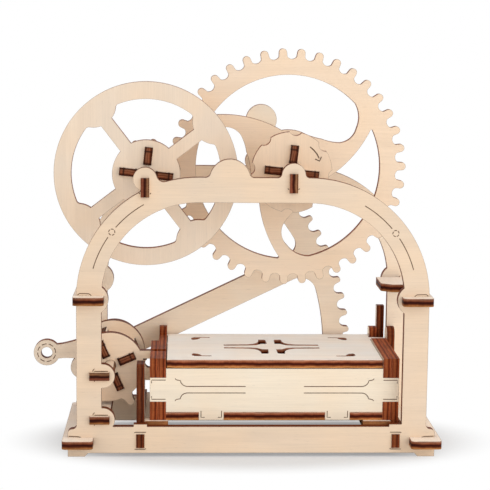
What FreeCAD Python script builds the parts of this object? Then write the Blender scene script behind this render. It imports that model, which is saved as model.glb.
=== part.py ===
import FreeCAD, Part
import math
import os

# Hand-cranked wooden box kit cut from 4 mm plywood: two arched frames carry a spoked hand
# wheel, a gear train and a sector lever whose cam plate raises the lid of a long box.
# All sizes are millimetres. X runs left to right seen from the front, Y runs from the front
# frame to the back, and Z runs up from the floor. Angles are seen from the front,
# counter-clockwise from +X.

Vec = FreeCAD.Vector

# Sheet and fits
PLY = 4.0
RUNNING_FIT = 0.1
SIDE_GAP = 0.3
KEY_PROUD = 1.5

# Frames
FRAME_HALF_WIDTH = 86.3
COLUMN_WIDTH = 12.2
FRAME_SPACING = 63.5
BASE_CLEARANCE = 1.8
BASE_HEIGHT = 13.3
BASE_PAD_RISE = 1.2
BASE_PAD_WIDTH = 6.6
TOP_BAR_TOP = 138.4
TOP_BAR_HEIGHT = 12.2
CORNER_RADIUS = 59.3
FOOT_PAD_WIDTH = 8.3
FOOT_LOBE_OUT = 4.4
FOOT_LOBE_RISE = 4.2
SPRING_LOBE_RADIUS = 7.7
SPRING_LOBE_REACH = 3.4
LUG_RADIUS = 6.0
LUG_REACH = 6.5
FRONT_BOSS_RADIUS = 5.8
WHEEL_BOSS_CORNER = 3.6
GEAR_BOSS_CORNER = 2.0
REAR_BOSS_RADIUS = 11.5
CREST_SET_IN = 41.0
CREST_RADIUS = 9.9
CREST_CORNER = 2.4

# Shelves and foot boards
SHELF_Z = 76.4
SHELF_WIDTH = 15.0
SHELF_OUT = 1.5
SHELF_FRONT_OVERHANG = 6.0
SHELF_WING = 5.3
SHELF_WING_START = 36.0
SHELF_WING_LENGTH = 24.0
SHELF_WING_CHAMFER = 4.0
FOOT_BOARD_Z = 5.7
FOOT_BOARD_WIDTH = 15.1
FOOT_BOARD_OUT = 6.9
FOOT_BOARD_FRONT_OVERHANG = 8.2
BOARD_REAR_OVERHANG = 4.3
BOARD_CORNER = 2.0

# Turning axes
WHEEL_SET_IN = 33.3
WHEEL_BELOW_TOP = 1.1
GEAR_RIGHT_OF_WHEEL = 71.8
GEAR_ABOVE_WHEEL = 2.4
LEVER_SET_IN = 15.45
LEVER_ABOVE_FOOT_BOARD = 30.8
SPINDLE_RADIUS = 2.8
SPINDLE_FOOT_LENGTH = 3.0
SIDE_TAB_LENGTH = 9.7
HANGING_TAB_LENGTH = 9.2
TAB_PAST_AXIS = 0.6
TIE_BAR_BELOW_LEVER = 22.0

# Depth of each layer, front face behind the front frame's front face
ARROW_DISC_Y = 15.0
CAM_PLATE_Y = 24.0
WHEEL_Y = 27.0
GEAR_Y = 41.5
STOP_ARM_Y = 54.0
SPACER_DISC_Y = 58.5
LEVER_Y = 73.2

# Hand wheel
WHEEL_RADIUS = 45.9
WHEEL_RIM = 8.6
WHEEL_HUB_RADIUS = 17.0
WHEEL_SPOKES = 4
WHEEL_SPOKE_WIDTH = 6.6
WHEEL_SPOKE_ANGLE = 37.6
SPOKE_PAD_REACH = 43.0
SPOKE_PAD_RADIUS = 11.2
SPOKE_PAD_CORNER = 2.0

# Radial keys that join the discs of one axle
KEY_ANGLE = 84.0
LEVER_KEY_ANGLE = 23.4
KEY_INNER = 4.6
KEY_OUTER = 13.4
PINION_KEY_OUTER = 9.4
NECK_INNER = 2.2
NECK_OUTER = 5.5

# Hand wheel pinion and big gear
BIG_TEETH = 39
PINION_TEETH = 10
BIG_TIP_RADIUS = 60.2
BIG_TOOTH_HEIGHT = 5.3
BIG_TOOTH_ANGLE = 93.3
TOOTH_TIP_WIDTH = 4.0
TOOTH_BASE_WIDTH = 4.3
TOOTH_VALLEY_RISE = 1.2
MESH_GAP = 0.4
BIG_WINDOWS = 3
BIG_WINDOW_TIP_ANGLE = 145.1
BIG_RIM_INNER = 47.0
BIG_HUB_RADIUS = 19.2

# Arrow disc and stop arm
ARROW_DISC_RADIUS = 20.0
ARROW_NOTCHES = 8
ARROW_NOTCH_ANGLE = 40.0
ARROW_NOTCH_RADIUS = 3.4
ARROW_NOTCH_DEPTH = 1.8
STOP_LOBE_REACH = 26.9
STOP_LOBE_RADIUS = 7.9
STOP_LOBE_ANGLE = 119.4
STOP_NECK_WIDTH = 9.6
STOP_HUB_RADIUS = 15.5
STOP_TAIL_REACH = 16.0
STOP_TAIL_RADIUS = 5.5
STOP_TAIL_ANGLE = 172.0

# Sector lever and its pinion
SECTOR_TEETH = 86
SECTOR_PINION_TEETH = 8
SMALL_ROOT_RADIUS = 7.2
SECTOR_TOOTH_HEIGHT = 4.8
SECTOR_RIM_WIDTH = 14.1
SECTOR_FIRST_TOOTH = 4.27
SECTOR_TOOTH_COUNT = 12
SECTOR_TIP_WIDTH = 3.0
SECTOR_BASE_WIDTH = 3.6
SECTOR_VALLEY_RISE = 1.8
SMALL_TIP_WIDTH = 2.6
SMALL_BASE_WIDTH = 3.0
SMALL_VALLEY_RISE = 1.2
SMALL_MESH_GAP = 0.3
ARM_ANGLE = 25.8
ARM_WIDTH = 13.3
ARM_OFFSET = -2.35
LEVER_HUB_RADIUS = 14.0
TAIL_REACH = 36.3
TAIL_ANGLE = 186.3
LOOP_RADIUS = 6.95
LOOP_HOLE_RADIUS = 3.0
TAIL_NECK_WIDTH = 7.7
TAIL_ROOT_WIDTH = 13.0
TAIL_LOBE_REACH = 20.8
TAIL_LOBE_ANGLE = 215.0
TAIL_LOBE_RADIUS = 6.3

# Cam plate and spacer disc
CAM_RADIUS = 16.9
HOOK_SOLE = 18.3
HOOK_TIP = 20.3
HOOK_TIP_OUT = 10.6
HOOK_BACK_OUT = 9.5
JAW_REACH = 21.2
JAW_DROP = 7.5
MOUTH_OUT = 19.9
MOUTH_RISE = 1.2
MOUTH_RADIUS = 2.4
SPACER_RADIUS = 16.55
FINGER_RISE = 7.7
FINGER_THICKNESS = 4.1
FINGER_REACH_IN = 15.1
FINGER_DROP = 2.5
FINGER_SHOULDER_DROP = 0.3

# Box
BOX_RIGHT_OF_LEVER = 28.25
BOX_COLUMN_GAP = 0.9
BOX_FRONT_Y = 6.0
BOX_DEPTH = 66.8
BOX_FLOOR_Z = 16.9
BOX_END_HEIGHT = 31.2
LID_DROP = 0.7
LEFT_OUTER_LENGTH = 44.0
FRONT_TAB_Z = 26.2
FRONT_TAB_HEIGHT = 12.2
BOTTOM_TAB_WIDTH = 12.4
BOTTOM_TAB_SET_IN = 16.3
HINGE_SET_IN = 4.0
HINGE_POST_RISE = 4.0
HINGE_POST_LENGTH = 7.4
LID_SIDE_GAP = 0.4
EAR_LENGTH = 5.7
EAR_POST_GAP = 2.4
EAR_REACH = 7.5
NOTCH_SIDE_GAP = 0.5
OUTER_NOTCH_DEPTH = 20.3
INNER_NOTCH_DEPTH = 12.2

# Boards that carry the box
GUIDE_TENON_Z = 4.5
GUIDE_TENON_HEIGHT = 6.7
LEFT_GUIDE_SET_OUT = 14.5
LEFT_GUIDE_TOP = 18.9
LEFT_HORN_TOP = 45.3
LEFT_HORN_LENGTH = 12.0
RIGHT_HORN_TOP = 63.6
RIGHT_HORN_LENGTH = 4.3
RUNNER_LEFT_WIDTH = 11.6
RUNNER_RIGHT_WIDTH = 13.8
RUNNER_TAB_LENGTH = 8.0
RUNNER_TAB_FRONT = 12.0
RUNNER_TAB_REAR = 40.0
CHEEK_Y = 53.5
CHEEK_TOP = 54.2
CHEEK_FOOT_Z = 30.0
CHEEK_TAB_HEIGHT = 10.0
CHEEK_ROUND = 4.0

# Places worked out from the sizes above
INNER_Y = PLY
REAR_Y = FRAME_SPACING
REAR_BACK_Y = FRAME_SPACING + PLY
BOARD_REAR_Y = REAR_BACK_Y + BOARD_REAR_OVERHANG
BASE_TOP = BASE_CLEARANCE + BASE_HEIGHT
COLUMN_INNER = FRAME_HALF_WIDTH - COLUMN_WIDTH
ARCH_CENTRE_X = FRAME_HALF_WIDTH - CORNER_RADIUS
ARCH_CENTRE_Z = TOP_BAR_TOP - CORNER_RADIUS
INNER_RADIUS = CORNER_RADIUS - COLUMN_WIDTH
SHELF_TOP = SHELF_Z + PLY
FOOT_BOARD_TOP = FOOT_BOARD_Z + PLY
SHELF_OUTER = FRAME_HALF_WIDTH + SHELF_OUT
SHELF_INNER = SHELF_OUTER - SHELF_WIDTH
FOOT_OUTER = FRAME_HALF_WIDTH + FOOT_BOARD_OUT
FOOT_INNER = FOOT_OUTER - FOOT_BOARD_WIDTH
LOBE_OUTER = FRAME_HALF_WIDTH + FOOT_LOBE_OUT
SHELF_LAP = (SHELF_OUTER + SHELF_INNER) / 2
FOOT_LAP = (FOOT_OUTER + FOOT_INNER) / 2
WHEEL_X = WHEEL_SET_IN - FRAME_HALF_WIDTH
WHEEL_Z = TOP_BAR_TOP - WHEEL_BELOW_TOP
GEAR_X = WHEEL_X + GEAR_RIGHT_OF_WHEEL
GEAR_Z = WHEEL_Z + GEAR_ABOVE_WHEEL
LEVER_X = LEVER_SET_IN - FRAME_HALF_WIDTH
LEVER_Z = FOOT_BOARD_TOP + LEVER_ABOVE_FOOT_BOARD
TIE_BAR_Z = LEVER_Z - TIE_BAR_BELOW_LEVER - PLY / 2
CREST_X = WHEEL_X + CREST_SET_IN
WHEEL_AXIS = (WHEEL_X, WHEEL_Z)
GEAR_AXIS = (GEAR_X, GEAR_Z)
LEVER_AXIS = (LEVER_X, LEVER_Z)
BORE_RADIUS = SPINDLE_RADIUS + RUNNING_FIT
NECK_CORNER = math.hypot(NECK_OUTER, PLY / 2)
NECK_HOLE_RADIUS = NECK_CORNER + RUNNING_FIT
GEAR_CENTRES = math.dist(WHEEL_AXIS, GEAR_AXIS)
LEVER_CENTRES = math.dist(LEVER_AXIS, GEAR_AXIS)
BIG_ROOT_RADIUS = BIG_TIP_RADIUS - BIG_TOOTH_HEIGHT
PINION_TIP_RADIUS = GEAR_CENTRES - BIG_ROOT_RADIUS - MESH_GAP
PINION_ROOT_RADIUS = GEAR_CENTRES - BIG_TIP_RADIUS - MESH_GAP
SECTOR_TIP_RADIUS = LEVER_CENTRES - SMALL_ROOT_RADIUS - SMALL_MESH_GAP
SECTOR_ROOT_RADIUS = SECTOR_TIP_RADIUS - SECTOR_TOOTH_HEIGHT
SECTOR_RIM_INNER = SECTOR_TIP_RADIUS - SECTOR_RIM_WIDTH
SMALL_TIP_RADIUS = LEVER_CENTRES - SECTOR_ROOT_RADIUS - SMALL_MESH_GAP
BOX_TOP = BOX_FLOOR_Z + BOX_END_HEIGHT
LID_TOP = BOX_TOP - LID_DROP
LID_Z = LID_TOP - PLY
BOX_INNER_LEFT = LEVER_X + BOX_RIGHT_OF_LEVER
BOX_INNER_RIGHT = COLUMN_INNER - BOX_COLUMN_GAP - 2 * PLY
BOTTOM_TABS_X = (BOX_INNER_LEFT + BOTTOM_TAB_SET_IN,
                 BOX_INNER_RIGHT - BOTTOM_TAB_SET_IN - BOTTOM_TAB_WIDTH)
LEFT_GUIDE_X = BOX_INNER_LEFT - LEFT_GUIDE_SET_OUT
RIGHT_GUIDE_X = BOX_INNER_RIGHT + PLY
FINGER_TOP_Z = LEVER_Z + FINGER_RISE
FINGER_TIP_X = BOX_INNER_LEFT + FINGER_REACH_IN
BOX_REAR_Y = BOX_FRONT_Y + BOX_DEPTH
HINGE_Y = BOX_REAR_Y - HINGE_SET_IN
HINGE_Z = LID_Z + PLY / 2
HINGE_HOLE_RADIUS = math.hypot(PLY / 2, PLY / 2) + RUNNING_FIT
LID_REAR_Y = HINGE_Y + PLY / 2
EAR_Y = BOX_REAR_Y - HINGE_POST_LENGTH - EAR_POST_GAP - EAR_LENGTH
RIGHT_OUTER_LENGTH = EAR_Y - SIDE_GAP - BOX_FRONT_Y
WALL_TOP = LID_Z - SIDE_GAP
REAR_WALL_TOP = HINGE_Z - HINGE_HOLE_RADIUS - SIDE_GAP
RUNNER_Z = BOX_FLOOR_Z - PLY


def block(x0, x1, y0, y1, z0, z1):
    return Part.makeBox(x1 - x0, y1 - y0, z1 - z0, Vec(x0, y0, z0))


def disc(centre, radius, y, depth=PLY):
    return Part.makeCylinder(radius, depth, Vec(centre[0], y, centre[1]), Vec(0, 1, 0))


def polar(centre, radius, angle):
    turn = math.radians(angle)
    return (centre[0] + radius * math.cos(turn), centre[1] + radius * math.sin(turn))


def spin(shape, centre, angle):
    turned = shape.copy()
    turned.rotate(Vec(centre[0], 0, centre[1]), Vec(0, -1, 0), angle)
    return turned


def sheet(path, y, depth=PLY):
    """Cut a sheet from an XZ outline: a start point, then ends, or (middle, end) for an arc."""
    def spot(point):
        return Vec(point[0], y, point[1])
    edges = []
    here = path[0]
    for step in list(path[1:]) + [path[0]]:
        if isinstance(step[0], tuple):
            edges.append(Part.Arc(spot(here), spot(step[0]), spot(step[1])).toShape())
            here = step[1]
        elif math.dist(here, step) > 1e-6:
            edges.append(Part.LineSegment(spot(here), spot(step)).toShape())
            here = step
    return Part.Face(Part.Wire(edges)).extrude(Vec(0, depth, 0))


def side_sheet(points, x, depth=PLY):
    """Cut a sheet from a YZ outline that stands across X."""
    corners = [Vec(x, y, z) for y, z in points]
    return Part.Face(Part.makePolygon(corners + corners[:1])).extrude(Vec(depth, 0, 0))


def fuse(shapes):
    return shapes[0].multiFuse(shapes[1:]).removeSplitter()


def cut(shape, tools):
    return shape.cut(Part.makeCompound(tools)).removeSplitter()


def round_edges(shape, radius, wanted):
    """Fillet the straight edges that run along Y or Z and pass the wanted test."""
    chosen = [edge for edge in shape.Edges if len(edge.Vertexes) == 2 and wanted(edge)]
    return shape.makeFillet(radius, chosen)


def along(edge, axis):
    first, last = (vertex.Point for vertex in edge.Vertexes)
    step = last - first
    return abs(abs(step.dot(axis)) - step.Length) < 1e-6


def mirrored(shape):
    return shape.mirror(Vec(0, 0, 0), Vec(1, 0, 0))


def gear_path(centre, first_angle, pitch_angle, count, root, tip, base_width, tip_width, rise):
    """Points and arcs of finger teeth with round tips and round valleys."""
    def spot(angle, along_tooth, across):
        turn = math.radians(angle)
        return (centre[0] + along_tooth * math.cos(turn) - across * math.sin(turn),
                centre[1] + along_tooth * math.sin(turn) + across * math.cos(turn))
    steps = []
    for tooth in range(count):
        angle = first_angle + tooth * pitch_angle
        shoulder = tip - tip_width / 2
        if tooth:
            valley = polar(centre, root, angle - pitch_angle / 2)
            steps.append((valley, spot(angle, root + rise, -base_width / 2)))
        else:
            steps.append(spot(angle, root + rise, -base_width / 2))
        steps.append(spot(angle, shoulder, -tip_width / 2))
        steps.append((spot(angle, tip, 0), spot(angle, shoulder, tip_width / 2)))
        steps.append(spot(angle, root + rise, base_width / 2))
    return steps


def full_gear(centre, tooth_angle, teeth, root, tip, base_width, tip_width, rise, y):
    pitch = 360 / teeth
    steps = gear_path(centre, tooth_angle, pitch, teeth, root, tip, base_width, tip_width, rise)
    steps.append((polar(centre, root, tooth_angle - pitch / 2), steps[0]))
    return sheet(steps, y)


def key_slots(centre, angle, inner, outer, y):
    slot = block(centre[0] + inner, centre[0] + outer, y, y + PLY,
                 centre[1] - PLY / 2, centre[1] + PLY / 2)
    return [spin(slot, centre, angle + quarter * 90) for quarter in range(4)]


def key_set(centre, angle, spans):
    """Four radial strips; each span is its depth from, depth to, inner and outer radius."""
    strip = fuse([block(centre[0] + inner, centre[0] + outer, y0, y1,
                        centre[1] - PLY / 2, centre[1] + PLY / 2)
                  for y0, y1, inner, outer in spans])
    return Part.makeCompound([spin(strip, centre, angle + quarter * 90) for quarter in range(4)])


# Frames

def half_outline():
    """Right half of the frame's outer edge from the base's middle to the top bar's middle."""
    middle = math.sqrt(0.5) * CORNER_RADIUS
    foot_inner = LOBE_OUTER - FOOT_PAD_WIDTH
    lobe_top = FOOT_BOARD_TOP + FOOT_LOBE_RISE
    return [
        (0, BASE_CLEARANCE),
        (foot_inner - BASE_CLEARANCE, BASE_CLEARANCE),
        (foot_inner, 0),
        (LOBE_OUTER, 0),
        (LOBE_OUTER, lobe_top - FOOT_LOBE_OUT / 2),
        (polar((LOBE_OUTER - FOOT_LOBE_OUT / 2, lobe_top - FOOT_LOBE_OUT / 2), FOOT_LOBE_OUT / 2, 45),
         (LOBE_OUTER - FOOT_LOBE_OUT / 2, lobe_top)),
        (polar((FRAME_HALF_WIDTH + FOOT_LOBE_OUT / 2, lobe_top + FOOT_LOBE_OUT / 2),
               FOOT_LOBE_OUT / 2, 225),
         (FRAME_HALF_WIDTH, lobe_top + FOOT_LOBE_OUT / 2)),
        (FRAME_HALF_WIDTH, ARCH_CENTRE_Z),
        ((ARCH_CENTRE_X + middle, ARCH_CENTRE_Z + middle), (ARCH_CENTRE_X, TOP_BAR_TOP)),
        (0, TOP_BAR_TOP),
    ]


def arch_opening(y):
    middle = math.sqrt(0.5) * INNER_RADIUS
    crown = ARCH_CENTRE_Z + INNER_RADIUS
    return sheet([
        (-COLUMN_INNER, BASE_TOP),
        (COLUMN_INNER, BASE_TOP),
        (COLUMN_INNER, ARCH_CENTRE_Z),
        ((ARCH_CENTRE_X + middle, ARCH_CENTRE_Z + middle), (ARCH_CENTRE_X, crown)),
        (-ARCH_CENTRE_X, crown),
        ((-ARCH_CENTRE_X - middle, ARCH_CENTRE_Z + middle), (-COLUMN_INNER, ARCH_CENTRE_Z)),
    ], y)


def bare_frame(y):
    half = sheet(half_outline(), y)
    body = cut(fuse([half, mirrored(half)]), [arch_opening(y)])
    lobe_x = COLUMN_INNER - SPRING_LOBE_REACH + SPRING_LOBE_RADIUS
    lobes = [disc((side * lobe_x, SHELF_Z + PLY / 2), SPRING_LOBE_RADIUS, y) for side in (-1, 1)]
    lug_x = LUG_REACH - COLUMN_INNER - LUG_RADIUS
    lobes += [disc((lug_x, z), LUG_RADIUS, y) for z in (LEVER_Z, TIE_BAR_Z + PLY / 2)]
    pads = [block(x + PLY / 2 - BASE_PAD_WIDTH / 2, x + PLY / 2 + BASE_PAD_WIDTH / 2, y, y + PLY,
                  BASE_TOP - BASE_PAD_RISE, BASE_TOP + BASE_PAD_RISE)
            for x in (LEFT_GUIDE_X, RIGHT_GUIDE_X)]
    return fuse([body] + lobes + pads)


def frame_slots(y):
    """Laps for the shelves and foot boards, and slots for the boards that tie the frames."""
    slots = []
    for side in (-1, 1):
        for lap, outer, z in ((SHELF_LAP, SHELF_OUTER, SHELF_Z), (FOOT_LAP, FOOT_OUTER, FOOT_BOARD_Z)):
            x0, x1 = sorted((side * lap, side * outer))
            slots.append(block(x0, x1, y, y + PLY, z, z + PLY))
    for x in (LEFT_GUIDE_X, RIGHT_GUIDE_X):
        slots.append(block(x, x + PLY, y, y + PLY, GUIDE_TENON_Z, GUIDE_TENON_Z + GUIDE_TENON_HEIGHT))
    slots.append(tie_bar_section(y, y + PLY))
    return slots


def tie_bar_section(y0, y1):
    return block(LEVER_X + TAB_PAST_AXIS - SIDE_TAB_LENGTH, LEVER_X + TAB_PAST_AXIS, y0, y1,
                 TIE_BAR_Z, TIE_BAR_Z + PLY)


def hanging_tab(axis, y0, y1):
    """End tab of a spindle, mostly below its axis."""
    return block(axis[0] - PLY / 2, axis[0] + PLY / 2, y0, y1,
                 axis[1] + TAB_PAST_AXIS - HANGING_TAB_LENGTH, axis[1] + TAB_PAST_AXIS)


def side_tab(axis, y0, y1):
    """End tab of a spindle, mostly to the left of its axis."""
    return block(axis[0] + TAB_PAST_AXIS - SIDE_TAB_LENGTH, axis[0] + TAB_PAST_AXIS, y0, y1,
                 axis[1] - PLY / 2, axis[1] + PLY / 2)


def add_boss(body, centre, radius, corner, y):
    """Fuse a round boss to a frame's top edge and round the two corners at its foot."""
    def at_foot(edge):
        spot = edge.CenterOfMass
        return (along(edge, Vec(0, 1, 0)) and spot.z > centre[1] - radius / 2
                and abs(math.dist((spot.x, spot.z), centre) - radius) < 0.01)
    return round_edges(fuse([body, disc(centre, radius, y)]), corner, at_foot)


def front_frame():
    crest_centre = (CREST_X, TOP_BAR_TOP - PLY / 4)
    body = add_boss(bare_frame(0), crest_centre, CREST_RADIUS, CREST_CORNER, 0)
    body = add_boss(body, WHEEL_AXIS, FRONT_BOSS_RADIUS, WHEEL_BOSS_CORNER, 0)
    body = add_boss(body, GEAR_AXIS, FRONT_BOSS_RADIUS, GEAR_BOSS_CORNER, 0)
    slots = frame_slots(0)
    slots += [hanging_tab(axis, 0, PLY) for axis in (WHEEL_AXIS, GEAR_AXIS)]
    slots.append(side_tab(LEVER_AXIS, 0, PLY))
    return cut(body, slots)


def rear_frame():
    body = add_boss(bare_frame(REAR_Y), WHEEL_AXIS, FRONT_BOSS_RADIUS, WHEEL_BOSS_CORNER, REAR_Y)
    bosses = [disc(axis, REAR_BOSS_RADIUS, REAR_Y) for axis in (GEAR_AXIS, LEVER_AXIS)]
    holes = [disc(axis, NECK_HOLE_RADIUS, REAR_Y) for axis in (GEAR_AXIS, LEVER_AXIS)]
    cheek_x = BOX_INNER_RIGHT + 2 * PLY
    cheek_slot = block(cheek_x, cheek_x + PLY, REAR_Y, REAR_BACK_Y,
                       CHEEK_FOOT_Z, CHEEK_FOOT_Z + CHEEK_TAB_HEIGHT)
    slots = frame_slots(REAR_Y) + holes + [hanging_tab(WHEEL_AXIS, REAR_Y, REAR_BACK_Y), cheek_slot]
    return cut(fuse([body] + bosses), slots)


# Boards between and across the frames

def lapped_board(outer, inner, lap, z, front_overhang):
    board = block(inner, outer, -front_overhang, BOARD_REAR_Y, z, z + PLY)
    board = round_edges(board, BOARD_CORNER, lambda edge: along(edge, Vec(0, 0, 1)))
    laps = [block(inner, lap, y, y + PLY, z, z + PLY) for y in (0, REAR_Y)]
    return board, laps


def narrow_shelf():
    """Shelf that is full width outside the frames and half as wide from one to the other."""
    board, laps = lapped_board(SHELF_OUTER, SHELF_INNER, SHELF_LAP, SHELF_Z, SHELF_FRONT_OVERHANG)
    middle = block(SHELF_INNER, SHELF_LAP, 0, REAR_BACK_Y, SHELF_Z, SHELF_TOP)
    return cut(board, laps + [middle])


def left_shelf():
    return mirrored(narrow_shelf())


def right_shelf():
    rear = SHELF_WING_START + SHELF_WING_LENGTH
    edge_x = SHELF_INNER - SHELF_WING
    corners = [(SHELF_LAP, SHELF_WING_START), (SHELF_INNER, SHELF_WING_START),
               (edge_x, SHELF_WING_START + SHELF_WING_CHAMFER), (edge_x, rear), (SHELF_LAP, rear)]
    rim = [Vec(x, y, SHELF_Z) for x, y in corners]
    wing = Part.Face(Part.makePolygon(rim + rim[:1])).extrude(Vec(0, 0, PLY))
    return fuse([narrow_shelf(), wing])


def right_foot_board():
    board, laps = lapped_board(FOOT_OUTER, FOOT_INNER, FOOT_LAP, FOOT_BOARD_Z,
                               FOOT_BOARD_FRONT_OVERHANG)
    return cut(board, laps)


def left_foot_board():
    return mirrored(right_foot_board())


def lower_tie_bar():
    return tie_bar_section(-KEY_PROUD, REAR_BACK_Y + KEY_PROUD)


def runner_tab_spans():
    return [(y, y + RUNNER_TAB_LENGTH) for y in (RUNNER_TAB_FRONT, RUNNER_TAB_REAR)]


def left_guide_board():
    """Upright board with tenons in both frames and a tall horn behind the front frame."""
    tenon_top = GUIDE_TENON_Z + GUIDE_TENON_HEIGHT
    horn_end = INNER_Y + LEFT_HORN_LENGTH
    board = side_sheet([
        (-KEY_PROUD / 2, GUIDE_TENON_Z),
        (REAR_BACK_Y + KEY_PROUD / 2, GUIDE_TENON_Z),
        (REAR_BACK_Y + KEY_PROUD / 2, tenon_top),
        (REAR_Y, tenon_top),
        (REAR_Y, LEFT_GUIDE_TOP),
        (horn_end, LEFT_GUIDE_TOP),
        (horn_end, LEFT_HORN_TOP),
        (INNER_Y, LEFT_HORN_TOP),
        (INNER_Y, tenon_top),
        (-KEY_PROUD / 2, tenon_top),
    ], LEFT_GUIDE_X)
    board = round_edges(board, BOARD_CORNER, lambda edge: along(edge, Vec(1, 0, 0))
                        and edge.CenterOfMass.z > LEFT_HORN_TOP - 0.1)
    slots = [block(LEFT_GUIDE_X, LEFT_GUIDE_X + PLY, y0, y1, RUNNER_Z, BOX_FLOOR_Z)
             for y0, y1 in runner_tab_spans()]
    return cut(board, slots)


def right_guide_board():
    """Upright board under the box end whose rear horn rises behind the rear frame."""
    tenon_top = GUIDE_TENON_Z + GUIDE_TENON_HEIGHT
    step_y = BOX_FRONT_Y + RIGHT_OUTER_LENGTH + SIDE_GAP
    horn_front = REAR_BACK_Y + SIDE_GAP
    horn_rear = horn_front + RIGHT_HORN_LENGTH
    step_top = WALL_TOP - 2 * SIDE_GAP
    board = side_sheet([
        (-KEY_PROUD / 2, GUIDE_TENON_Z),
        (REAR_BACK_Y + KEY_PROUD / 2, GUIDE_TENON_Z),
        (REAR_BACK_Y + KEY_PROUD / 2, tenon_top),
        (REAR_Y, tenon_top),
        (REAR_Y, BOX_FLOOR_Z),
        (horn_rear, BOX_FLOOR_Z),
        (horn_rear, RIGHT_HORN_TOP),
        (horn_front, RIGHT_HORN_TOP),
        (horn_front, step_top),
        (step_y, step_top),
        (step_y, BOX_FLOOR_Z),
        (INNER_Y, BOX_FLOOR_Z),
        (INNER_Y, tenon_top),
        (-KEY_PROUD / 2, tenon_top),
    ], RIGHT_GUIDE_X)
    slots = [block(RIGHT_GUIDE_X, RIGHT_GUIDE_X + PLY, y0, y1, RUNNER_Z, BOX_FLOOR_Z)
             for y0, y1 in runner_tab_spans()]
    return cut(board, slots)


def left_runner():
    x0 = LEFT_GUIDE_X + PLY
    board = block(x0, x0 + RUNNER_LEFT_WIDTH, INNER_Y, REAR_Y, RUNNER_Z, BOX_FLOOR_Z)
    tabs = [block(LEFT_GUIDE_X, x0, y0, y1, RUNNER_Z, BOX_FLOOR_Z) for y0, y1 in runner_tab_spans()]
    return fuse([board] + tabs)


def right_runner():
    x1 = RIGHT_GUIDE_X
    board = block(x1 - RUNNER_RIGHT_WIDTH, x1, INNER_Y, REAR_Y, RUNNER_Z, BOX_FLOOR_Z)
    tabs = [block(x1, x1 + PLY, y0, y1, RUNNER_Z, BOX_FLOOR_Z) for y0, y1 in runner_tab_spans()]
    return fuse([board] + tabs)


def right_cheek_plate():
    """Upright plate beside the box's right end, tenoned in the rear frame's column."""
    x = BOX_INNER_RIGHT + 2 * PLY
    tab_top = CHEEK_FOOT_Z + CHEEK_TAB_HEIGHT
    plate = side_sheet([
        (CHEEK_Y, BOX_FLOOR_Z),
        (REAR_Y, BOX_FLOOR_Z),
        (REAR_Y, CHEEK_FOOT_Z),
        (REAR_BACK_Y, CHEEK_FOOT_Z),
        (REAR_BACK_Y, tab_top),
        (REAR_Y, tab_top),
        (REAR_Y, CHEEK_TOP),
        (CHEEK_Y, CHEEK_TOP),
    ], x)
    return round_edges(plate, CHEEK_ROUND, lambda edge: along(edge, Vec(1, 0, 0))
                       and edge.CenterOfMass.z > CHEEK_TOP - 0.1)


# Fixed spindles

def wheel_spindle():
    bar = disc(WHEEL_AXIS, SPINDLE_RADIUS, INNER_Y, REAR_Y - INNER_Y)
    feet = [hanging_tab(WHEEL_AXIS, -KEY_PROUD, INNER_Y + SPINDLE_FOOT_LENGTH),
            hanging_tab(WHEEL_AXIS, REAR_Y - SPINDLE_FOOT_LENGTH, REAR_BACK_Y + KEY_PROUD)]
    return fuse([bar] + feet)


def gear_spindle():
    bar = disc(GEAR_AXIS, SPINDLE_RADIUS, INNER_Y, STOP_ARM_Y + PLY / 2 - INNER_Y)
    return fuse([bar, hanging_tab(GEAR_AXIS, -KEY_PROUD, INNER_Y + SPINDLE_FOOT_LENGTH)])


def lever_spindle():
    bar = disc(LEVER_AXIS, SPINDLE_RADIUS, INNER_Y, SPACER_DISC_Y + PLY / 2 - INNER_Y)
    return fuse([bar, side_tab(LEVER_AXIS, -KEY_PROUD, INNER_Y + SPINDLE_FOOT_LENGTH)])


# Hand wheel

def handwheel():
    rim_inner = WHEEL_RADIUS - WHEEL_RIM
    half = WHEEL_SPOKE_WIDTH / 2
    spoke = fuse([block(WHEEL_X, WHEEL_X + rim_inner, WHEEL_Y, WHEEL_Y + PLY,
                        WHEEL_Z - half, WHEEL_Z + half),
                  disc((WHEEL_X + SPOKE_PAD_REACH, WHEEL_Z), SPOKE_PAD_RADIUS, WHEEL_Y)])
    spokes = [spin(spoke, WHEEL_AXIS, WHEEL_SPOKE_ANGLE + number * 360 / WHEEL_SPOKES)
              for number in range(WHEEL_SPOKES)]
    windows = cut(disc(WHEEL_AXIS, rim_inner, WHEEL_Y),
                  spokes + [disc(WHEEL_AXIS, WHEEL_HUB_RADIUS, WHEEL_Y)])

    def pad_meets_rim(edge):
        spot = edge.CenterOfMass
        return (along(edge, Vec(0, 1, 0))
                and abs(math.dist((spot.x, spot.z), WHEEL_AXIS) - rim_inner) < 0.01)
    rounded = [round_edges(piece, SPOKE_PAD_CORNER, pad_meets_rim) for piece in windows.Solids]
    bore = disc(WHEEL_AXIS, BORE_RADIUS, WHEEL_Y)
    slots = key_slots(WHEEL_AXIS, KEY_ANGLE, KEY_INNER, KEY_OUTER, WHEEL_Y)
    return cut(disc(WHEEL_AXIS, WHEEL_RADIUS, WHEEL_Y), rounded + [bore] + slots)


def direction(start, end):
    return math.degrees(math.atan2(end[1] - start[1], end[0] - start[0]))


def meshed_angle(driver_axis, driver_tooth, driver_teeth, driven_axis, driven_teeth):
    """Angle of a driven tooth that sits in the driver's nearest valley."""
    facing = direction(driver_axis, driven_axis)
    pitch = 360 / driver_teeth
    valleys_away = (facing - driver_tooth) / pitch - 0.5
    offset = (valleys_away - round(valleys_away)) * pitch
    return facing + 180 + offset * driver_teeth / driven_teeth


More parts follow.
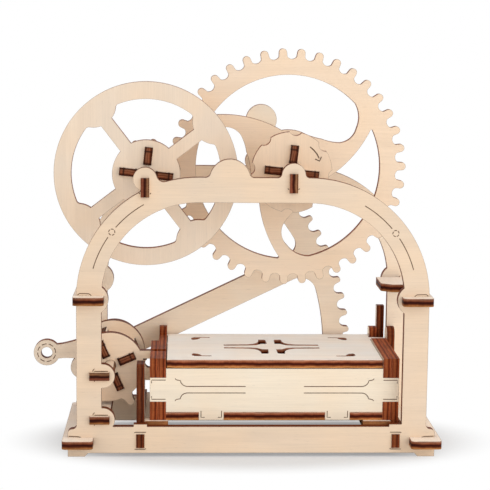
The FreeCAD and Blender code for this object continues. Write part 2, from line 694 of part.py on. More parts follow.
def wheel_pinion():
    tooth = meshed_angle(GEAR_AXIS, BIG_TOOTH_ANGLE, BIG_TEETH, WHEEL_AXIS, PINION_TEETH)
    blank = full_gear(WHEEL_AXIS, tooth, PINION_TEETH, PINION_ROOT_RADIUS, PINION_TIP_RADIUS,
                      TOOTH_BASE_WIDTH, TOOTH_TIP_WIDTH, TOOTH_VALLEY_RISE, GEAR_Y)
    slots = key_slots(WHEEL_AXIS, KEY_ANGLE, KEY_INNER, PINION_KEY_OUTER, GEAR_Y)
    return cut(blank, slots + [disc(WHEEL_AXIS, BORE_RADIUS, GEAR_Y)])


def wheel_keys():
    step_y = GEAR_Y - PLY
    spans = [(WHEEL_Y - KEY_PROUD, step_y, KEY_INNER, KEY_OUTER),
             (step_y, GEAR_Y + PLY + KEY_PROUD, KEY_INNER, PINION_KEY_OUTER)]
    return key_set(WHEEL_AXIS, KEY_ANGLE, spans)


# Big gear and what turns with it

def gear_window():
    """Comma window with its pointed tip at angle 0; the pairs are radius and angle."""
    def at(radius, angle):
        return polar(GEAR_AXIS, radius, angle)
    rim = BIG_RIM_INNER
    hub = BIG_HUB_RADIUS
    band = rim - hub
    steps = [
        at(rim, -0.8),
        (at(rim, -50), at(rim, -101)),
        (at(rim - 0.088 * band, -108.3), at(rim - 0.253 * band, -115)),
        (at(rim - 0.45 * band, -119.8), at(rim - 0.63 * band, -119.3)),
        (at(rim - 0.77 * band, -114), at(hub + 0.122 * band, -105)),
        (at(hub + 0.043 * band, -96), at(hub, -84)),
        (at(hub, -65), at(hub, -45)),
        (at(hub + 0.367 * band, -21.1), at(rim - 0.025 * band, 0)),
    ]
    return sheet(steps, GEAR_Y)


def big_gear():
    blank = full_gear(GEAR_AXIS, BIG_TOOTH_ANGLE, BIG_TEETH, BIG_ROOT_RADIUS, BIG_TIP_RADIUS,
                      TOOTH_BASE_WIDTH, TOOTH_TIP_WIDTH, TOOTH_VALLEY_RISE, GEAR_Y)
    window = gear_window()
    windows = [spin(window, GEAR_AXIS, BIG_WINDOW_TIP_ANGLE + number * 360 / BIG_WINDOWS)
               for number in range(BIG_WINDOWS)]
    slots = key_slots(GEAR_AXIS, KEY_ANGLE, KEY_INNER, KEY_OUTER, GEAR_Y)
    return cut(blank, windows + slots + [disc(GEAR_AXIS, BORE_RADIUS, GEAR_Y)])


def arrow_disc():
    reach = ARROW_DISC_RADIUS + ARROW_NOTCH_RADIUS - ARROW_NOTCH_DEPTH
    notches = [disc(polar(GEAR_AXIS, reach, ARROW_NOTCH_ANGLE + number * 360 / ARROW_NOTCHES),
                    ARROW_NOTCH_RADIUS, ARROW_DISC_Y) for number in range(ARROW_NOTCHES)]
    slots = key_slots(GEAR_AXIS, KEY_ANGLE, KEY_INNER, KEY_OUTER, ARROW_DISC_Y)
    bore = disc(GEAR_AXIS, BORE_RADIUS, ARROW_DISC_Y)
    return cut(disc(GEAR_AXIS, ARROW_DISC_RADIUS, ARROW_DISC_Y), notches + slots + [bore])


def stop_arm():
    hub = disc(GEAR_AXIS, STOP_HUB_RADIUS, STOP_ARM_Y)
    lobe = disc(polar(GEAR_AXIS, STOP_LOBE_REACH, STOP_LOBE_ANGLE), STOP_LOBE_RADIUS, STOP_ARM_Y)
    neck = spin(block(GEAR_X, GEAR_X + STOP_LOBE_REACH, STOP_ARM_Y, STOP_ARM_Y + PLY,
                      GEAR_Z - STOP_NECK_WIDTH / 2, GEAR_Z + STOP_NECK_WIDTH / 2),
                GEAR_AXIS, STOP_LOBE_ANGLE)
    tail = disc(polar(GEAR_AXIS, STOP_TAIL_REACH, STOP_TAIL_ANGLE), STOP_TAIL_RADIUS, STOP_ARM_Y)
    slots = key_slots(GEAR_AXIS, KEY_ANGLE, KEY_INNER, KEY_OUTER, STOP_ARM_Y)
    return cut(fuse([hub, lobe, neck, tail]), slots + [disc(GEAR_AXIS, BORE_RADIUS, STOP_ARM_Y)])


def sector_pinion():
    tooth = meshed_angle(LEVER_AXIS, SECTOR_FIRST_TOOTH, SECTOR_TEETH, GEAR_AXIS,
                         SECTOR_PINION_TEETH)
    blank = full_gear(GEAR_AXIS, tooth, SECTOR_PINION_TEETH, SMALL_ROOT_RADIUS, SMALL_TIP_RADIUS,
                      SMALL_BASE_WIDTH, SMALL_TIP_WIDTH, SMALL_VALLEY_RISE, LEVER_Y)
    return cut(blank, key_slots(GEAR_AXIS, KEY_ANGLE, NECK_INNER, NECK_OUTER, LEVER_Y))


def gear_keys():
    wide_end = STOP_ARM_Y + PLY
    spans = [(ARROW_DISC_Y - KEY_PROUD, wide_end, KEY_INNER, KEY_OUTER),
             (wide_end, REAR_Y - PLY / 4, KEY_INNER, NECK_OUTER + PLY / 2),
             (wide_end, LEVER_Y + PLY + KEY_PROUD, NECK_INNER, NECK_OUTER)]
    return key_set(GEAR_AXIS, KEY_ANGLE, spans)


# Sector lever and what turns with it

def lever_point(along_arm, across):
    turn = math.radians(ARM_ANGLE)
    return (LEVER_X + along_arm * math.cos(turn) - across * math.sin(turn),
            LEVER_Z + along_arm * math.sin(turn) + across * math.cos(turn))


def sector_rim():
    pitch = 360 / SECTOR_TEETH
    last = SECTOR_FIRST_TOOTH + (SECTOR_TOOTH_COUNT - 1) * pitch
    low = SECTOR_FIRST_TOOTH - 0.7 * pitch
    high = last + 0.7 * pitch
    teeth = gear_path(LEVER_AXIS, SECTOR_FIRST_TOOTH, pitch, SECTOR_TOOTH_COUNT,
                      SECTOR_ROOT_RADIUS, SECTOR_TIP_RADIUS, SECTOR_BASE_WIDTH,
                      SECTOR_TIP_WIDTH, SECTOR_VALLEY_RISE)
    steps = [polar(LEVER_AXIS, SECTOR_RIM_INNER, low), polar(LEVER_AXIS, SECTOR_ROOT_RADIUS, low)]
    steps += teeth
    steps.append(polar(LEVER_AXIS, SECTOR_ROOT_RADIUS, high))
    steps.append(polar(LEVER_AXIS, SECTOR_RIM_INNER, high))
    inner_middle = polar(LEVER_AXIS, SECTOR_RIM_INNER, (low + high) / 2)
    steps.append((inner_middle, steps[0]))
    return sheet(steps, LEVER_Y)


def arm_fillets():
    """Round webs where the arm runs into the toothed rim, below and above."""
    def web(across, radius, side):
        edge = across
        along_rim = math.sqrt(SECTOR_RIM_INNER ** 2 - edge ** 2)
        centre_across = edge + side * radius
        centre_along = math.sqrt((SECTOR_RIM_INNER - radius) ** 2 - centre_across ** 2)
        centre = lever_point(centre_along, centre_across)
        corner = lever_point(along_rim + 1, edge - side)
        foot = lever_point(centre_along, edge - side)
        top = polar(LEVER_AXIS, SECTOR_RIM_INNER + 1, direction(LEVER_AXIS, centre))
        return cut(sheet([foot, corner, top, centre], LEVER_Y), [disc(centre, radius, LEVER_Y)])
    low = ARM_OFFSET - ARM_WIDTH / 2
    high = ARM_OFFSET + ARM_WIDTH / 2
    return [web(low, ARM_WIDTH * 0.65, -1), web(high, ARM_WIDTH * 0.45, 1)]


def sector_lever():
    low = ARM_OFFSET - ARM_WIDTH / 2
    high = ARM_OFFSET + ARM_WIDTH / 2
    reach = (SECTOR_RIM_INNER + SECTOR_ROOT_RADIUS) / 2
    arm = sheet([lever_point(0, low), lever_point(reach, low), lever_point(reach, high),
                 lever_point(0, high)], LEVER_Y)
    hub = disc(LEVER_AXIS, LEVER_HUB_RADIUS, LEVER_Y)
    loop_centre = polar(LEVER_AXIS, TAIL_REACH, TAIL_ANGLE)
    loop = disc(loop_centre, LOOP_RADIUS, LEVER_Y)
    turn = math.radians(TAIL_ANGLE)

    def tail_point(along_tail, across):
        return (LEVER_X + along_tail * math.cos(turn) - across * math.sin(turn),
                LEVER_Z + along_tail * math.sin(turn) + across * math.cos(turn))
    neck = TAIL_NECK_WIDTH / 2
    root = TAIL_ROOT_WIDTH / 2
    neck_along = TAIL_REACH - 1.2 * LOOP_RADIUS
    tail = sheet([tail_point(LEVER_HUB_RADIUS / 2, -root), tail_point(LEVER_HUB_RADIUS, -root),
                  (tail_point(0.8 * neck_along, -neck - 0.7), tail_point(neck_along, -neck)),
                  tail_point(TAIL_REACH, -neck), tail_point(TAIL_REACH, neck),
                  tail_point(neck_along, neck),
                  (tail_point(0.8 * neck_along, neck + 0.7), tail_point(LEVER_HUB_RADIUS, root)),
                  tail_point(LEVER_HUB_RADIUS / 2, root)], LEVER_Y)
    lobe = disc(polar(LEVER_AXIS, TAIL_LOBE_REACH, TAIL_LOBE_ANGLE), TAIL_LOBE_RADIUS, LEVER_Y)
    body = fuse([arm, sector_rim(), hub, loop, tail, lobe] + arm_fillets())
    hole = disc(loop_centre, LOOP_HOLE_RADIUS, LEVER_Y)
    slots = key_slots(LEVER_AXIS, LEVER_KEY_ANGLE, NECK_INNER, NECK_OUTER, LEVER_Y)
    return cut(body, [hole] + slots)


def cam_plate():
    """Round plate with a finger under the lid, a short jaw below it and a hook at the foot."""
    round_body = disc(LEVER_AXIS, CAM_RADIUS, CAM_PLATE_Y)

    def rel(x, z):
        return (LEVER_X + x, LEVER_Z + z)
    step = HOOK_TIP - HOOK_SOLE
    hook = sheet([rel(-HOOK_BACK_OUT, -0.8 * CAM_RADIUS),
                  rel(1.5 * step - HOOK_BACK_OUT, -HOOK_SOLE),
                  rel(HOOK_TIP_OUT - 4.6 * step, -HOOK_SOLE),
                  (rel(HOOK_TIP_OUT - 3.6 * step, -HOOK_SOLE + 0.15 * step),
                   rel(HOOK_TIP_OUT - 2.6 * step, -HOOK_SOLE + 0.6 * step)),
                  (rel(HOOK_TIP_OUT - 1.8 * step, -HOOK_SOLE + 0.2 * step),
                   rel(HOOK_TIP_OUT - step, -HOOK_SOLE - 0.6 * step)),
                  (rel(HOOK_TIP_OUT + 0.2 * step, -HOOK_TIP),
                   rel(HOOK_TIP_OUT + 0.9 * step, -HOOK_SOLE)),
                  (rel(HOOK_TIP_OUT + 0.4 * step, -HOOK_SOLE + step),
                   rel(HOOK_TIP_OUT + 0.2 * step, -HOOK_SOLE + 2.3 * step)),
                  rel(JAW_REACH - 2 * step, -JAW_DROP),
                  rel(JAW_REACH, -JAW_DROP),
                  rel(JAW_REACH, FINGER_RISE - FINGER_THICKNESS),
                  rel(0, 0)], CAM_PLATE_Y)
    mouth = [disc(rel(MOUTH_OUT, MOUTH_RISE), MOUTH_RADIUS, CAM_PLATE_Y),
             block(LEVER_X + MOUTH_OUT, LEVER_X + JAW_REACH, CAM_PLATE_Y, CAM_PLATE_Y + PLY,
                   LEVER_Z + MOUTH_RISE - MOUTH_RADIUS, LEVER_Z + MOUTH_RISE + MOUTH_RADIUS)]
    outer_face = BOX_INNER_LEFT - 2 * PLY
    neck_under = FINGER_TOP_Z - FINGER_THICKNESS
    inside = BOX_INNER_LEFT - SIDE_GAP
    tip_top = LID_Z - FINGER_DROP
    tip_low = tip_top - FINGER_THICKNESS
    shoulder = LID_TOP - FINGER_SHOULDER_DROP
    finger = sheet([
        (LEVER_X, FINGER_TOP_Z),
        (outer_face, FINGER_TOP_Z),
        (outer_face + PLY / 2, shoulder),
        (inside, shoulder),
        (inside, tip_top),
        (FINGER_TIP_X - FINGER_THICKNESS / 2, tip_top),
        ((FINGER_TIP_X, tip_top - FINGER_THICKNESS / 2), (FINGER_TIP_X - FINGER_THICKNESS / 2, tip_low)),
        (inside - PLY / 2, tip_low),
        (outer_face + PLY / 2, neck_under - PLY),
        (outer_face + PLY / 4, neck_under),
        (LEVER_X + CAM_RADIUS * 0.8, neck_under),
        (LEVER_X, LEVER_Z),
    ], CAM_PLATE_Y)
    slots = key_slots(LEVER_AXIS, LEVER_KEY_ANGLE, KEY_INNER, KEY_OUTER, CAM_PLATE_Y)
    body = fuse([round_body, cut(hook, mouth), finger])
    return cut(body, slots + [disc(LEVER_AXIS, BORE_RADIUS, CAM_PLATE_Y)])


def spacer_disc():
    slots = key_slots(LEVER_AXIS, LEVER_KEY_ANGLE, KEY_INNER, KEY_OUTER, SPACER_DISC_Y)
    return cut(disc(LEVER_AXIS, SPACER_RADIUS, SPACER_DISC_Y),
               slots + [disc(LEVER_AXIS, BORE_RADIUS, SPACER_DISC_Y)])


def lever_keys():
    wide_end = SPACER_DISC_Y + PLY
    spans = [(CAM_PLATE_Y - KEY_PROUD, wide_end, KEY_INNER, KEY_OUTER),
             (wide_end, LEVER_Y + PLY + KEY_PROUD, NECK_INNER, NECK_OUTER)]
    return key_set(LEVER_AXIS, LEVER_KEY_ANGLE, spans)


# Box

def box_wall(y, top):
    """Front or rear wall with tabs through the ends and the bottom board."""
    wall = block(BOX_INNER_LEFT, BOX_INNER_RIGHT, y, y + PLY, BOX_FLOOR_Z + PLY, top)
    tab_top = FRONT_TAB_Z + FRONT_TAB_HEIGHT
    side_tabs = block(BOX_INNER_LEFT - 2 * PLY, BOX_INNER_RIGHT + 2 * PLY, y, y + PLY,
                      FRONT_TAB_Z, tab_top)
    feet = [block(x, x + BOTTOM_TAB_WIDTH, y, y + PLY, BOX_FLOOR_Z, BOX_FLOOR_Z + PLY)
            for x in BOTTOM_TABS_X]
    return fuse([wall, side_tabs] + feet)


def box_front():
    return box_wall(BOX_FRONT_Y, WALL_TOP)


def rear_wall_y():
    return HINGE_Y - PLY / 2


def box_rear():
    """Rear wall; its side tabs reach only through the inner end layers."""
    wall = box_wall(rear_wall_y(), REAR_WALL_TOP)
    outside = [block(BOX_INNER_LEFT - 3 * PLY, BOX_INNER_LEFT - PLY, rear_wall_y(), LID_REAR_Y,
                     0, BOX_TOP),
               block(BOX_INNER_RIGHT + PLY, BOX_INNER_RIGHT + 3 * PLY, rear_wall_y(), LID_REAR_Y,
                     0, BOX_TOP)]
    return cut(wall, outside)


def box_bottom():
    board = block(BOX_INNER_LEFT, BOX_INNER_RIGHT, BOX_FRONT_Y, LID_REAR_Y,
                  BOX_FLOOR_Z, BOX_FLOOR_Z + PLY)
    notches = [block(x, x + BOTTOM_TAB_WIDTH, y, y + PLY, BOX_FLOOR_Z, BOX_FLOOR_Z + PLY)
               for x in BOTTOM_TABS_X
               for y in (BOX_FRONT_Y, rear_wall_y())]
    return cut(board, notches)


def end_slots(x):
    tab_top = FRONT_TAB_Z + FRONT_TAB_HEIGHT
    return [block(x, x + PLY, y, y + PLY, FRONT_TAB_Z, tab_top)
            for y in (BOX_FRONT_Y, rear_wall_y())]


def finger_notch(x, depth):
    return block(x, x + PLY, CAM_PLATE_Y - NOTCH_SIDE_GAP, CAM_PLATE_Y + PLY + NOTCH_SIDE_GAP,
                 BOX_TOP - depth, BOX_TOP + PLY)


def inner_end(x):
    """End layer that runs the box's full depth and rises to a hinge post at the rear."""
    post_y = BOX_REAR_Y - HINGE_POST_LENGTH
    post_top = BOX_TOP + HINGE_POST_RISE
    plate = side_sheet([(BOX_FRONT_Y, BOX_FLOOR_Z), (BOX_REAR_Y, BOX_FLOOR_Z),
                        (BOX_REAR_Y, post_top), (post_y, post_top), (post_y, BOX_TOP),
                        (BOX_FRONT_Y, BOX_TOP)], x)
    plate = round_edges(plate, BOARD_CORNER, lambda edge: along(edge, Vec(1, 0, 0))
                        and edge.CenterOfMass.z > post_top - 0.1)
    hole = Part.makeCylinder(HINGE_HOLE_RADIUS, PLY, Vec(x, HINGE_Y, HINGE_Z), Vec(1, 0, 0))
    return cut(plate, end_slots(x) + [hole])


def box_left_inner_end():
    x = BOX_INNER_LEFT - PLY
    return cut(inner_end(x), [finger_notch(x, INNER_NOTCH_DEPTH)])


def box_right_inner_end():
    """The recess in its top lets the lid's ear lie flush."""
    x = BOX_INNER_RIGHT
    recess = block(x, x + PLY, EAR_Y - SIDE_GAP, BOX_REAR_Y - HINGE_POST_LENGTH, WALL_TOP, BOX_TOP)
    return cut(inner_end(x), [recess])


def outer_end(x, length):
    return block(x, x + PLY, BOX_FRONT_Y, BOX_FRONT_Y + length, BOX_FLOOR_Z, BOX_TOP)


def box_left_outer_end():
    x = BOX_INNER_LEFT - 2 * PLY
    plate = outer_end(x, LEFT_OUTER_LENGTH)
    return cut(plate, end_slots(x)[:1] + [finger_notch(x, OUTER_NOTCH_DEPTH)])


def box_right_outer_end():
    x = BOX_INNER_RIGHT + PLY
    return cut(outer_end(x, RIGHT_OUTER_LENGTH), end_slots(x)[:1])


def lid_cut_outs():
    """Leaf slots near the corners and long stems that meet in the middle."""
    mid_x = (BOX_INNER_LEFT + BOX_INNER_RIGHT) / 2
    mid_y = (BOX_FRONT_Y + LID_REAR_Y) / 2
    half_x = mid_x - BOX_INNER_LEFT
    half_y = mid_y - BOX_FRONT_Y

    def flat(points):
        rim = [Vec(mid_x + x * half_x, mid_y + y * half_y, LID_Z) for x, y in points]
        return Part.Face(Part.makePolygon(rim + rim[:1])).extrude(Vec(0, 0, PLY))
    leaf = [(0.583, 0.685), (0.672, 0.679), (0.683, 0.617), (0.709, 0.549), (0.746, 0.522),
            (0.761, 0.556), (0.761, 0.667), (0.735, 0.716), (0.668, 0.728), (0.583, 0.728)]
    stem = [(0.453, 0.068), (0.204, 0.08), (0.141, 0.111), (0.104, 0.185), (0.096, 0.21),
            (0.039, 0.21), (0.043, 0.506), (0.056, 0.531), (0.108, 0.537), (0.115, 0.37),
            (0.134, 0.272), (0.167, 0.204), (0.223, 0.16), (0.453, 0.142)]
    tools = []
    for across in (-1, 1):
        for deep in (-1, 1):
            for outline in (leaf, stem):
                tools.append(flat([(across * x, deep * y) for x, y in outline]))
    return tools


def lid():
    x0 = BOX_INNER_LEFT + LID_SIDE_GAP
    x1 = BOX_INNER_RIGHT - LID_SIDE_GAP
    plate = block(x0, x1, BOX_FRONT_Y, LID_REAR_Y, LID_Z, LID_TOP)
    hinge_bar = block(BOX_INNER_LEFT - PLY + SIDE_GAP, BOX_INNER_RIGHT + PLY - SIDE_GAP,
                      HINGE_Y - PLY / 2, LID_REAR_Y, LID_Z, LID_TOP)
    ear_end = BOX_INNER_RIGHT + EAR_REACH
    ear = block(x1, ear_end, EAR_Y, EAR_Y + EAR_LENGTH, LID_Z, LID_TOP)
    ear = round_edges(ear, BOARD_CORNER, lambda edge: along(edge, Vec(0, 0, 1))
                      and edge.CenterOfMass.x > ear_end - 0.1)
    return cut(fuse([plate, hinge_bar, ear]), lid_cut_outs())


PIECES = {
    "front_frame": front_frame,
    "rear_frame": rear_frame,
    "left_shelf": left_shelf,
    "right_shelf": right_shelf,
    "left_foot_board": left_foot_board,
    "right_foot_board": right_foot_board,
    "lower_tie_bar": lower_tie_bar,
    "left_guide_board": left_guide_board,
    "right_guide_board": right_guide_board,
    "left_runner": left_runner,
    "right_runner": right_runner,
    "right_cheek_plate": right_cheek_plate,
    "wheel_spindle": wheel_spindle,
    "gear_spindle": gear_spindle,
    "lever_spindle": lever_spindle,
    "handwheel": handwheel,
    "wheel_pinion": wheel_pinion,
    "wheel_keys": wheel_keys,
    "arrow_disc": arrow_disc,
    "big_gear": big_gear,
    "stop_arm": stop_arm,
    "sector_pinion": sector_pinion,
    "gear_keys": gear_keys,
    "cam_plate": cam_plate,
    "spacer_disc": spacer_disc,
    "sector_lever": sector_lever,
    "lever_keys": lever_keys,
    "box_front": box_front,
    "box_rear": box_rear,
    "box_bottom": box_bottom,
    "box_left_inner_end": box_left_inner_end,
    "box_left_outer_end": box_left_outer_end,
    "box_right_inner_end": box_right_inner_end,
    "box_right_outer_end": box_right_outer_end,
    "lid": lid,
}

os.makedirs("parts", exist_ok=True)
shapes = {name: make() for name, make in PIECES.items()}
whole = Part.makeCompound(list(shapes.values())).BoundBox
ORIGIN = Vec((whole.XMin + whole.XMax) / 2, (whole.YMin + whole.YMax) / 2, whole.ZMin)
for name, shape in shapes.items():
    shape.translate(-ORIGIN)
    shape.exportStep(f"parts/{name}.step")
print("origin", ORIGIN, "size", whole.XLength, whole.YLength, whole.ZLength)
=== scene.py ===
import math

import bmesh
import bpy
from mathutils import Matrix, Vector


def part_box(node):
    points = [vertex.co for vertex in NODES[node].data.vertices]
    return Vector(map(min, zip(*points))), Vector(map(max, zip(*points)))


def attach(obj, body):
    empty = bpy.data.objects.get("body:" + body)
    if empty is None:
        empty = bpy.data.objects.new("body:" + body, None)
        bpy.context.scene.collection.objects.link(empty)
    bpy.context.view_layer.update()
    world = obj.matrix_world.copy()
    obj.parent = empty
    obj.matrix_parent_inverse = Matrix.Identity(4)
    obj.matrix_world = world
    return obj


# The plywood kit box seen at the photograph's angle. Sizes are millimetres measured from the
# front frame: X from its middle, Y from its front face, Z from the floor.

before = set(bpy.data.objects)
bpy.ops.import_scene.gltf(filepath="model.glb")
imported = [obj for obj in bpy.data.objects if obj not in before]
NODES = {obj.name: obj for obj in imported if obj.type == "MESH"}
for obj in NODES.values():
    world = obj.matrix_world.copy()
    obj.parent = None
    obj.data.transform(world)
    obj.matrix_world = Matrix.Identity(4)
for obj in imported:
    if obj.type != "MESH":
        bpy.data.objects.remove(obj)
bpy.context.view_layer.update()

MM = 0.001
PLY = 4.0
FRAME_LOW, FRAME_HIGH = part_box("front_frame")
HERE = Vector(((FRAME_LOW.x + FRAME_HIGH.x) / 2, FRAME_LOW.y, 0))


def at(x, y, z):
    return HERE + Vector((x, y, z)) * MM


def linear(red, green, blue):
    """A colour written as 0 to 255 screen values, as the shader wants it."""
    def channel(value):
        share = value / 255
        if share <= 0.04045:
            return share / 12.92
        return ((share + 0.055) / 1.055) ** 2.4
    return (channel(red), channel(green), channel(blue), 1.0)


# Camera
PHOTO_SIZE = 490
FOCAL_PIXELS = 1544.0
SENSOR = 36.0
CAMERA_SPOT = (-36.73, -740.8, 211.19)
CAMERA_TURN = 2.49
CAMERA_DOWN = 8.10
CAMERA_ROLL = 0.62
CAMERA_REACH = (0.05, 50)


def make_camera():
    turn, down, roll = (math.radians(a) for a in (CAMERA_TURN, CAMERA_DOWN, CAMERA_ROLL))
    up = Vector((0, 0, 1))
    right = Vector((math.cos(turn), -math.sin(turn), 0))
    ahead = Vector((math.sin(turn), math.cos(turn), 0))
    look = math.cos(down) * ahead - math.sin(down) * up
    top = math.cos(down) * up + math.sin(down) * ahead
    side = math.cos(roll) * right + math.sin(roll) * top
    over = math.cos(roll) * top - math.sin(roll) * right
    data = bpy.data.cameras.new("photo_camera")
    data.lens = FOCAL_PIXELS / PHOTO_SIZE * SENSOR
    data.sensor_width = SENSOR
    data.clip_start, data.clip_end = CAMERA_REACH
    camera = bpy.data.objects.new("photo_camera", data)
    place = Matrix((side, over, -look)).transposed().to_4x4()
    place.translation = at(*CAMERA_SPOT)
    camera.matrix_world = place
    bpy.context.scene.collection.objects.link(camera)
    bpy.context.scene.camera = camera


# Shader building

class Graph:
    """Short calls that add shader nodes to a material or world and join them."""

    def __init__(self, owner):
        owner.use_nodes = True
        self.tree = owner.node_tree
        self.tree.nodes.clear()

    def node(self, kind, *inputs, **settings):
        made = self.tree.nodes.new(kind)
        for name, value in settings.items():
            setattr(made, name, value)
        for index, value in enumerate(inputs):
            self.feed(made.inputs[index], value)
        return made

    def feed(self, socket, value):
        if isinstance(value, bpy.types.NodeSocket):
            self.tree.links.new(value, socket)
        else:
            socket.default_value = value

    def calc(self, operation, *values):
        return self.node("ShaderNodeMath", *values, operation=operation).outputs[0]

    def dot(self, vector, axis):
        made = self.node("ShaderNodeVectorMath", vector, tuple(axis), operation="DOT_PRODUCT")
        return made.outputs["Value"]

    def pack(self, x, y, z):
        return self.node("ShaderNodeCombineXYZ", x, y, z).outputs[0]

    def stretch(self, x, y, z, rates):
        """A noise's place, with x and y (and z where a third rate is given) scaled by the rates."""
        parts = [self.calc("MULTIPLY", part, rate) for part, rate in zip((x, y, z), rates)]
        return self.pack(*parts, *(x, y, z)[len(rates):])

    def noise(self, vector, scale, detail=2.0, rough=0.5):
        made = self.node("ShaderNodeTexNoise", vector)
        made.inputs["Scale"].default_value = scale
        made.inputs["Detail"].default_value = detail
        made.inputs["Roughness"].default_value = rough
        return made.outputs[0]

    def span(self, value, low, high, out_low=0.0, out_high=1.0, smooth=False):
        made = self.node("ShaderNodeMapRange", value, low, high, out_low, out_high)
        if smooth:
            made.interpolation_type = "SMOOTHSTEP"
        return made.outputs[0]

    def ramp(self, value, stops):
        """Colours at rising places from 0 to 1."""
        made = self.node("ShaderNodeValToRGB", value)
        elements = made.color_ramp.elements
        while len(elements) < len(stops):
            elements.new(1.0)
        for element, (place, colour) in zip(elements, stops):
            element.position = place
            element.color = linear(*colour)
        return made.outputs[0]

    def blend(self, share, first, second, kind="MIX"):
        made = self.node("ShaderNodeMix", data_type="RGBA", blend_type=kind)
        self.feed(made.inputs[0], share)
        self.feed(made.inputs[6], first)
        self.feed(made.inputs[7], second)
        return made.outputs[2]


X_AXIS, Y_AXIS, Z_AXIS = (1, 0, 0), (0, 1, 0), (0, 0, 1)

# Plywood
FACE = {
    "frame": linear(233, 211, 187),
    # The rear frame is the frame's plywood made lighter: painted light that offsets the shade the front
    # parts cast on it
    "rear": linear(250, 235, 215),
    "wheel": linear(240, 221, 200),
    "gear": linear(245, 222, 197),
    "disc": linear(239, 214, 188),
    # The stop arm and the lever behind the gears are made lighter: painted light that offsets the shade
    # they sit in
    "stop": linear(253, 241, 221),
    "lever": linear(252, 237, 217),
    "cam": linear(250, 226, 200),
    "box": linear(249, 235, 213),
    # The lid is the box's plywood made lighter and greyer: painted light for its lit top and to offset the
    # gears' shade on it
    "lid": linear(248, 243, 235),
    "board": linear(240, 226, 212),
}
FACE_WARM = linear(240, 204, 164)
# Dark line along each face's border: partly laser burn, partly painted shade along the border
OUTLINE = linear(72, 44, 28)
OUTLINE_REACH = 0.5
OUTLINE_SHARE = 0.72
OUTLINE_TURN = (0.86, 0.99)
BEVEL_SAMPLES = 6
# A sheet that stands on edge: burnt rims, two dark glue lines and a redder core between them
UPRIGHT_PLIES = (
    (0.00, (100, 46, 24)), (0.07, (164, 88, 52)), (0.14, (88, 26, 6)), (0.24, (144, 72, 38)),
    (0.42, (160, 86, 46)), (0.56, (130, 60, 28)), (0.68, (76, 22, 4)), (0.80, (134, 60, 28)),
    (0.93, (166, 86, 48)), (1.00, (96, 42, 22)))
# A sheet that lies flat, from its underside up: golden at the foot, darkest just above the middle
LEVEL_PLIES = (
    (0.00, (150, 92, 48)), (0.08, (204, 142, 84)), (0.20, (160, 92, 48)), (0.34, (98, 42, 18)),
    (0.46, (54, 12, 2)), (0.60, (78, 22, 6)), (0.72, (144, 78, 48)), (0.86, (162, 100, 72)),
    (0.95, (196, 146, 120)), (1.00, (120, 68, 44)))
# The runners' cut ends: hardly burnt wood, darkened by painted shade from the box above them
TAN_PLIES = (
    (0.00, (146, 92, 52)), (0.14, (164, 108, 68)), (0.36, (156, 100, 60)), (0.50, (146, 92, 52)),
    (0.70, (162, 106, 64)), (1.00, (148, 94, 54)))
# The axles' keys: burnt along both sides, paler between
KEY_PLIES = (
    (0.00, (120, 60, 34)), (0.14, (76, 26, 8)), (0.30, (166, 90, 56)), (0.44, (206, 126, 88)),
    (0.56, (150, 78, 46)), (0.70, (200, 128, 92)), (0.87, (78, 28, 10)), (1.00, (130, 70, 42)))
# The axles' end tabs: darkest in the middle
TAB_PLIES = (
    (0.00, (140, 70, 48)), (0.20, (184, 104, 74)), (0.38, (100, 36, 14)), (0.50, (44, 10, 2)),
    (0.62, (124, 66, 38)), (0.80, (196, 140, 98)), (1.00, (120, 66, 40)))
# How dark the laser left each board's edges; the rest are at EVEN_CHAR
EVEN_CHAR = 1.1
CHAR = {
    "front_frame": 0.7, "rear_frame": 0.85, "right_guide_board": 0.68,
    "left_guide_board": 0.5, "left_shelf": 0.62, "right_shelf": 0.66, "lower_tie_bar": 0.6,
    "lever_spindle": 0.47, "wheel_spindle": 0.5, "gear_spindle": 0.56, "left_foot_board": 0.72,
    "right_foot_board": 0.78, "sector_lever": 0.75, "spacer_disc": 0.65, "cam_plate": 0.65,
    "wheel_keys": 0.45, "gear_keys": 0.42, "lever_keys": 0.47, "right_cheek_plate": 0.7}
# Marks across a key: millimetres from the axle, half width and darkness
KEY_SCORCH = ((4.9, 1.2, 0.85), (11.3, 0.6, 0.8), (13.4, 0.5, 0.6))
KEY_SCORCH_CORE = 0.4
SCORCH = linear(40, 14, 6)
# How fast each pattern changes along and across the grain, per metre
FACE_STREAK_RATES = (45.0, 1400.0)
FACE_FIGURE_RATES = (16.0, 190.0)
FACE_PORE_RATES = (230.0, 1900.0)
FACE_CLOUD_RATE = 34.0
EDGE_STREAK_RATES = (110.0, 110.0, 9.0)
EDGE_KERF_RATES = (1300.0, 1300.0)
EDGE_PATCH_RATE = 70.0
EDGE_WAVER_RATE = 260.0
# How dark and how light each pattern makes the wood
FACE_STREAK_LIGHT = (0.95, 1.02)
FACE_FIGURE_LIGHT = (-0.05, 0.03)
FACE_CLOUD_LIGHT = (-0.03, 0.02)
FACE_WARM_SHARE = 0.32
PORE_SPAN = (0.66, 0.78)
PORE_DARKNESS = 0.10
EDGE_STREAK_LIGHT = (0.64, 1.3)
EDGE_STREAK_GRIT = 0.6
EDGE_KERF_LIGHT = (0.88, 1.1)
EDGE_PATCH_LIGHT = (0.8, 1.14)
EDGE_WAVER = (-0.045, 0.045)
# Where most of a noise's values lie
NOISE_CORE = (0.3, 0.7)
NOISE_WIDE = (0.25, 0.75)
# Each piece has its own seed, and each pattern is moved by it
SEED_SHIFT = 0.37
PATCH_SEED = 7.0
SHEET_SEED = 1.0
KEY_SEED = 50.0
# A surface belongs to a sheet's face where its normal is at least this much along the thickness
FACE_LEAN = 0.7
EDGE_ROUGH = 0.55
FACE_ROUGH = 0.62
BUMP_STRENGTH = 0.25
BUMP_HEIGHT = 0.0001
GLOSS = 0.08


